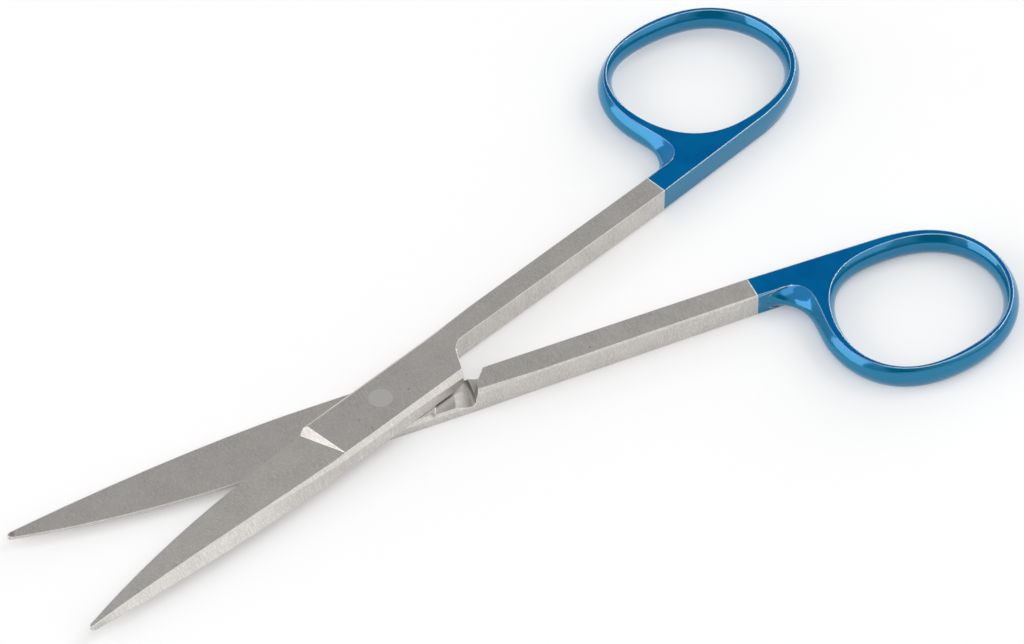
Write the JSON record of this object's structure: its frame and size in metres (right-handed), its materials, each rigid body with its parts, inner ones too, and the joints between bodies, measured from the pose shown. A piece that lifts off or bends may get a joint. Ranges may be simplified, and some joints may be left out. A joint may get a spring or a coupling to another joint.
{
  "type": "surgical scissors",
  "caption": "Straight sharp-pointed operating scissors in satin steel, open on a flush pivot, with slim shanks and oval finger rings coated blue.",
  "frame": {"origin": "on the rivet's axis, in the plane of the lower half's flat underside", "axes": "+X halves the angle between the two shanks and points to the finger rings, +Z is along the rivet, out of the upper half's flat face"},
  "size_m": [0.1359, 0.075, 0.0041],
  "materials": {
    "satin_steel": "satin, ground across its length",
    "rivet_steel": "satin, ground flush",
    "blue_lacquer": "glossy translucent lacquer on bright steel"
  },
  "bodies": {
    "lower": {"lower_half": "satin_steel", "lower_ring_coat": "blue_lacquer"},
    "upper": {"upper_half": "satin_steel", "upper_ring_coat": "blue_lacquer", "joint_rivet": "rivet_steel"}
  },
  "joints": [
    {"name": "scissor_joint", "type": "hinge", "parent": "lower", "child": "upper", "pos_m": [0, 0, 0], "axis": [0, 0, 1], "range_deg": [-20.6, 110]}
  ]
}
